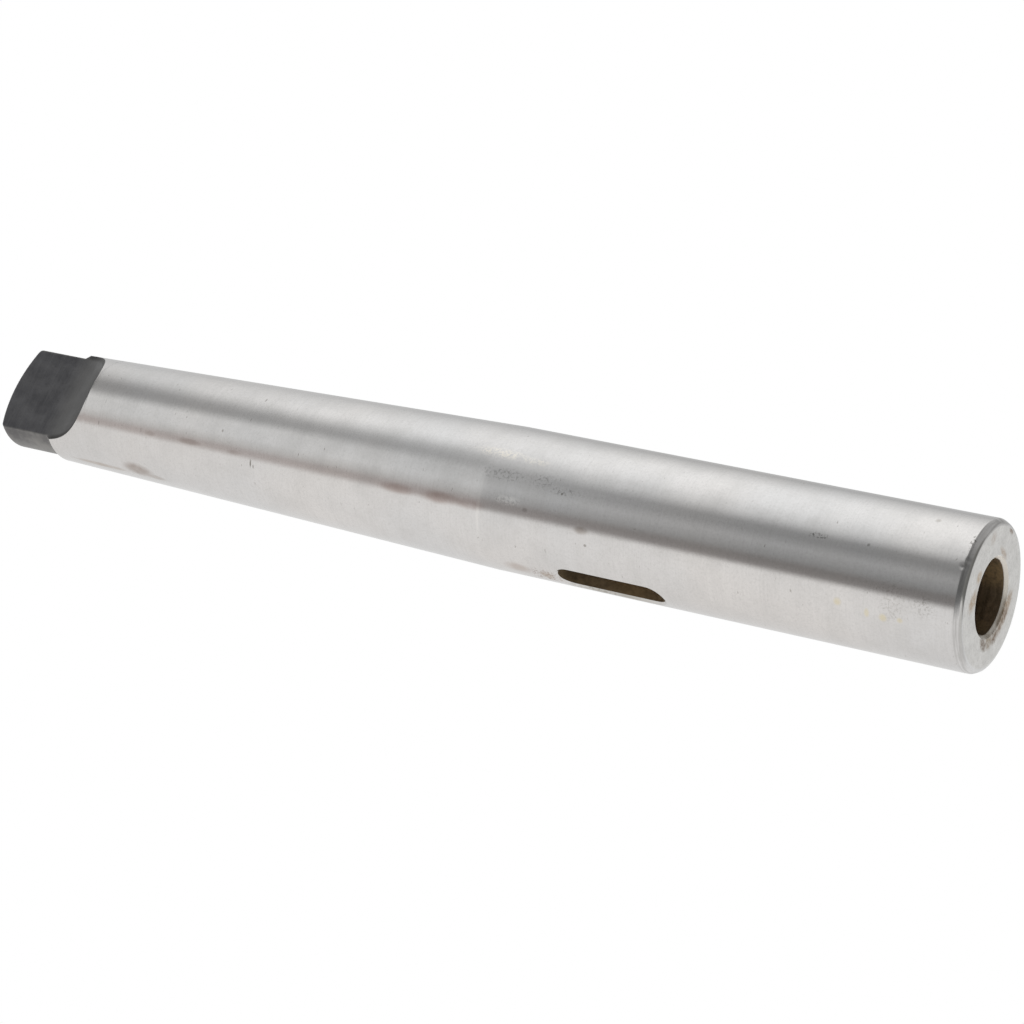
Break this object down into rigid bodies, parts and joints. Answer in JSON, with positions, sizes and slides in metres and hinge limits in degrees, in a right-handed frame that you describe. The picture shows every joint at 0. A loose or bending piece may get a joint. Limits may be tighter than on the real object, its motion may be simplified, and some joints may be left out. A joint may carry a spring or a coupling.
{
  "type": "taper extension sleeve",
  "caption": "Extension sleeve with a tanged taper shank outside, a smaller taper socket in its mouth, and a drift slot through the parallel body.",
  "frame": {"origin": "centre of the mouth face, on which the sleeve stands", "axes": "+Z along the sleeve's axis from the mouth to the tang, Y along the drift slot, X square to the tang's flats"},
  "size_m": [0.0244, 0.0244, 0.1924],
  "materials": {
    "ground_steel": "ground bright on the body and taper, black heat scale on the tang and in the slot, light rust in the socket"
  },
  "bodies": {
    "root": {"taper_sleeve": "ground_steel"}
  },
  "joints": []
}
